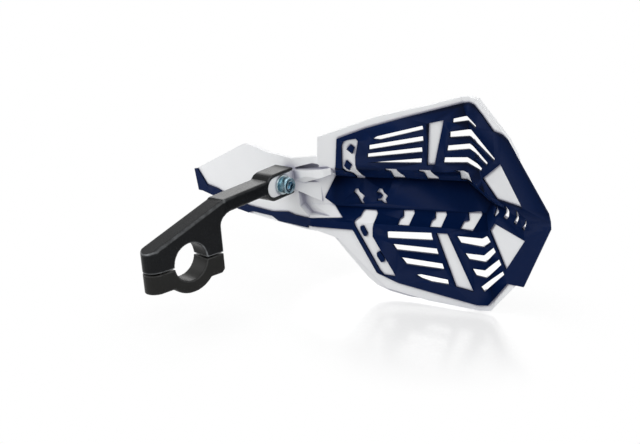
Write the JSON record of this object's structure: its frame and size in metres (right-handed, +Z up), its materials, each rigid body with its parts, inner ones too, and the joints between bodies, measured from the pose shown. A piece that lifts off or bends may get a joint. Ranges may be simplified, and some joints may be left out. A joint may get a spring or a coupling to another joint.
{
  "type": "motorcycle hand guard",
  "caption": "Right-hand guard for a motorcycle handlebar: slotted two-colour plastic shield with an inner wing, held by a forked metal arm with a split bar clamp.",
  "frame": {"origin": "centre of the handlebar bore, halfway along the clamp", "axes": "+X along the handlebar towards its right-hand outer end, +Y forward away from the rider, +Z up"},
  "size_m": [0.2836, 0.1568, 0.1281],
  "materials": {
    "black_metal": "satin black anodised",
    "black_cap": "satin black anodised",
    "steel": "plain",
    "white_plastic": "fine moulded satin",
    "blue_plastic": "satin",
    "zinc": "blue-white zinc plate"
  },
  "bodies": {
    "root": {"arm": "black_metal", "clamp_cap": "black_cap", "clamp_screws": "steel", "shell": "white_plastic", "grille": "blue_plastic", "guard_bolt": "zinc", "bolt_washer": "zinc", "spacer_sleeve": "steel", "nut_washer": "zinc", "lock_nut": "zinc"}
  },
  "joints": []
}
